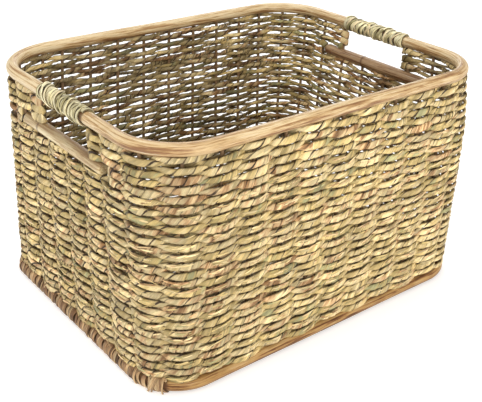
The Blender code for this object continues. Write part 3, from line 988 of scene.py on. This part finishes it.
def base_wrap(side):
    """Brown turns round the base along a short side, pressed flat where the basket stands."""
    rng = np.random.default_rng(31 + side)
    name = SIDE_NAMES[side]
    points, outward = hoop_path(BASE_Z, BASE_HALF, BASE_CORNERS, 1200)
    keep = (side * points[:, 0] > 0) & (np.abs(points[:, 1]) < BASE_WRAP_REACH)
    order = np.argsort(points[keep][:, 1])
    path = points[keep][order], outward[keep][order]
    strands = Strands()
    winding(strands, rng, path, BASE_RADIUS, pitch=0.0054, half_width=0.0025, half_thick=0.0013,
            lean=0.0030, jitter=0.0013, offset=40.0 + side, lowest=0.0, pale_end=0.35)
    winding(strands, rng, path, BASE_RADIUS + 0.0010, pitch=0.0125, half_width=0.0018, half_thick=0.0010,
            lean=-0.0040, jitter=0.0020, offset=44.0 + side, lowest=0.0, pale_end=0.35)
    if side < 0:
        foot_strips(strands, rng, *path, strips=6)
    strands.object("base_winding_" + name, BROWN_WRAP, ["base_wrap_" + name])


# Floor mat.

MAT_PITCH = 0.0050
MAT_RIB_PITCH = 0.0393
MAT_CLEARANCE = 0.0018
MAT_HALF = BASE_HALF - BASE_RADIUS - MAT_CLEARANCE
MAT_CORNER = BASE_CORNERS[0] - (BASE_HALF[0] - MAT_HALF[0])
MAT_Z = (floor_low[2] + floor_high[2]) / 2


def mat_row(strands, rng, row):
    """A leaf from side to side, over one rib and under the next."""
    y = -MAT_HALF[1] + MAT_PITCH * (row + 0.5)
    over = max(0.0, abs(y) - (MAT_HALF[1] - MAT_CORNER))
    reach = MAT_HALF[0] - MAT_CORNER + math.sqrt(max(MAT_CORNER ** 2 - over ** 2, 0.0))
    count = int(2 * reach / 0.006)
    x = np.linspace(-reach, reach, count)
    lift = 0.0013 * np.cos(math.pi * (x / MAT_RIB_PITCH + row))
    points = np.column_stack([x, y + wander(rng, x + reach, 0.05, 0.0003), MAT_Z + lift])
    along = distances(points)
    twist = 2 * math.pi * along / 0.09 + rng.uniform(0, 6)
    made = tube(points, same(count, (0.0, 0.0, 1.0)), np.full(count, 0.0022), np.full(count, 0.0034),
                LEAF_ANGLES, LEAF_RADII, twist)
    tone = np.clip(0.5 + wander(rng, along, 0.05, 0.2), 0, 1)
    strands.add(made, tone, np.full(count, rng.uniform(0.1, 0.9)), offset=60.0 + row)


def floor_mat():
    """Rows of leaf so close that they hide the ribs, inside a border strand that reaches the hoop."""
    rng = np.random.default_rng(5)
    strands = Strands()
    for row in range(int(2 * MAT_HALF[1] / MAT_PITCH)):
        mat_row(strands, rng, row)
    count = 300
    points, outward = hoop_path(MAT_Z, MAT_HALF, BASE_CORNERS - (BASE_HALF[0] - MAT_HALF[0]), count)
    border = tube(points, outward, np.full(count, 0.0026), np.full(count, 0.0032), round_angles(10),
                  closed=True)
    strands.add(border, np.full(count, 0.4), np.full(count, 0.4), closed=True, offset=140.0)
    strands.object("floor_mat", FLOOR_LEAF, ["floor"])


weave_rng = np.random.default_rng(11)
weave_top(weave_rng, weave_round(weave_rng))
stray_fibres()
flakes()
rim_wrapped = {side: [box[1] for box in size_of("handle_wrap_" + name)] for side, name in SIDE_NAMES.items()}
base_wrapped = {side: (-BASE_WRAP_REACH, BASE_WRAP_REACH) for side in SIDE_NAMES}
hoop("rim_hoop", RIM_Z, RIM_HALF, RIM_CORNERS, RIM_RADIUS, RIM_CANE, rim_wrapped)
hoop("base_hoop", BASE_Z, BASE_HALF, BASE_CORNERS, BASE_RADIUS, BASE_CANE, base_wrapped)
bar(-1, PALE_CANE, ring_at=0.052)
# The far bar takes the darker cane: painted shade.
bar(1, SHADED_BAR_CANE, ring_at=0.0165)
rim_wrap(-1, [(0.036, -0.020), (0.040, -0.026), (0.028, -0.016), (0.006, -0.014), (-0.020, -0.012)])
rim_wrap(1, [(0.050, -0.012), (0.012, -0.014), (-0.018, -0.012)])
for side in SIDE_NAMES:
    base_wrap(side)
floor_mat()
for name in STAKE_NODES:
    nodes[name].data.materials.clear()
    nodes[name].data.materials.append(STAKE_CANE)


# Stage, light and camera.

STAGE_REACH = 6.0
LIGHT_TARGET = Vector((0, 0, 0.13))
CAMERA_TARGET = Vector((0, 0, 0.1454))
CAMERA_DISTANCE = 1.0893
CAMERA_AZIMUTH = math.radians(-38.49)
CAMERA_ELEVATION = math.radians(24.73)
CAMERA_ROLL = 0.0262


def stage():
    """The pale floor, a little bright by itself."""
    mesh = bpy.data.meshes.new("studio_floor")
    corners = [(x * STAGE_REACH, y * STAGE_REACH, 0) for x, y in ((-1, -1), (1, -1), (1, 1), (-1, 1))]
    mesh.from_pydata(corners, [], [(0, 1, 2, 3)])
    make = Nodes("studio_floor")
    make.finish((0.80, 0.80, 0.80, 1.0), 0.9, specular=0.0)
    make.shader.inputs["Emission Color"].default_value = (1.0, 1.0, 1.0, 1.0)
    make.shader.inputs["Emission Strength"].default_value = 0.45
    mesh.materials.append(make.material)
    floor = bpy.data.objects.new("studio_floor", mesh)
    bpy.context.scene.collection.objects.link(floor)


def area_light(name, place, size, power, colour=(1, 1, 1)):
    """A round light that looks at the basket's middle."""
    light = bpy.data.lights.new(name, "AREA")
    light.shape = "DISK"
    light.size = size
    light.energy = power
    light.color = colour
    lamp = bpy.data.objects.new(name, light)
    lamp.location = place
    lamp.rotation_euler = (LIGHT_TARGET - Vector(place)).to_track_quat("-Z", "Y").to_euler()
    bpy.context.scene.collection.objects.link(lamp)


def studio():
    """White surroundings and four soft lights."""
    world = bpy.data.worlds.new("studio")
    bpy.context.scene.world = world
    world.use_nodes = True
    background = world.node_tree.nodes["Background"]
    background.inputs["Color"].default_value = (1.0, 1.0, 1.0, 1.0)
    background.inputs["Strength"].default_value = 0.65
    area_light("key", (-0.6, -2.7, 1.3), size=0.7, power=34.5, colour=(1.0, 0.96, 0.88))
    area_light("fill", (-2.4, -0.4, 1.7), size=1.0, power=14.0, colour=(1.0, 0.98, 0.94))
    area_light("top", (0.2, 0.5, 2.6), size=1.4, power=16.0)
    area_light("behind", (1.9, 2.2, 1.4), size=1.2, power=14.0)
    bpy.context.scene.view_settings.view_transform = "Standard"


def camera():
    """Looks at the basket over its near corner, with a small shift for the photograph's framing."""
    level = math.cos(CAMERA_ELEVATION)
    back = Vector((math.sin(CAMERA_AZIMUTH) * level, -math.cos(CAMERA_AZIMUTH) * level,
                   math.sin(CAMERA_ELEVATION)))
    data = bpy.data.cameras.new("camera")
    data.lens = 66.01
    data.sensor_width = 36.0
    data.shift_x = 0.0095
    data.shift_y = -0.0809
    data.clip_start = 0.01
    lens = bpy.data.objects.new("camera", data)
    lens.location = CAMERA_TARGET + back * CAMERA_DISTANCE
    turn = (-back).to_track_quat("-Z", "Y").to_matrix().to_4x4() @ Matrix.Rotation(CAMERA_ROLL, 4, "Z")
    lens.rotation_euler = turn.to_euler()
    bpy.context.scene.collection.objects.link(lens)
    bpy.context.scene.camera = lens


stage()
studio()
camera()
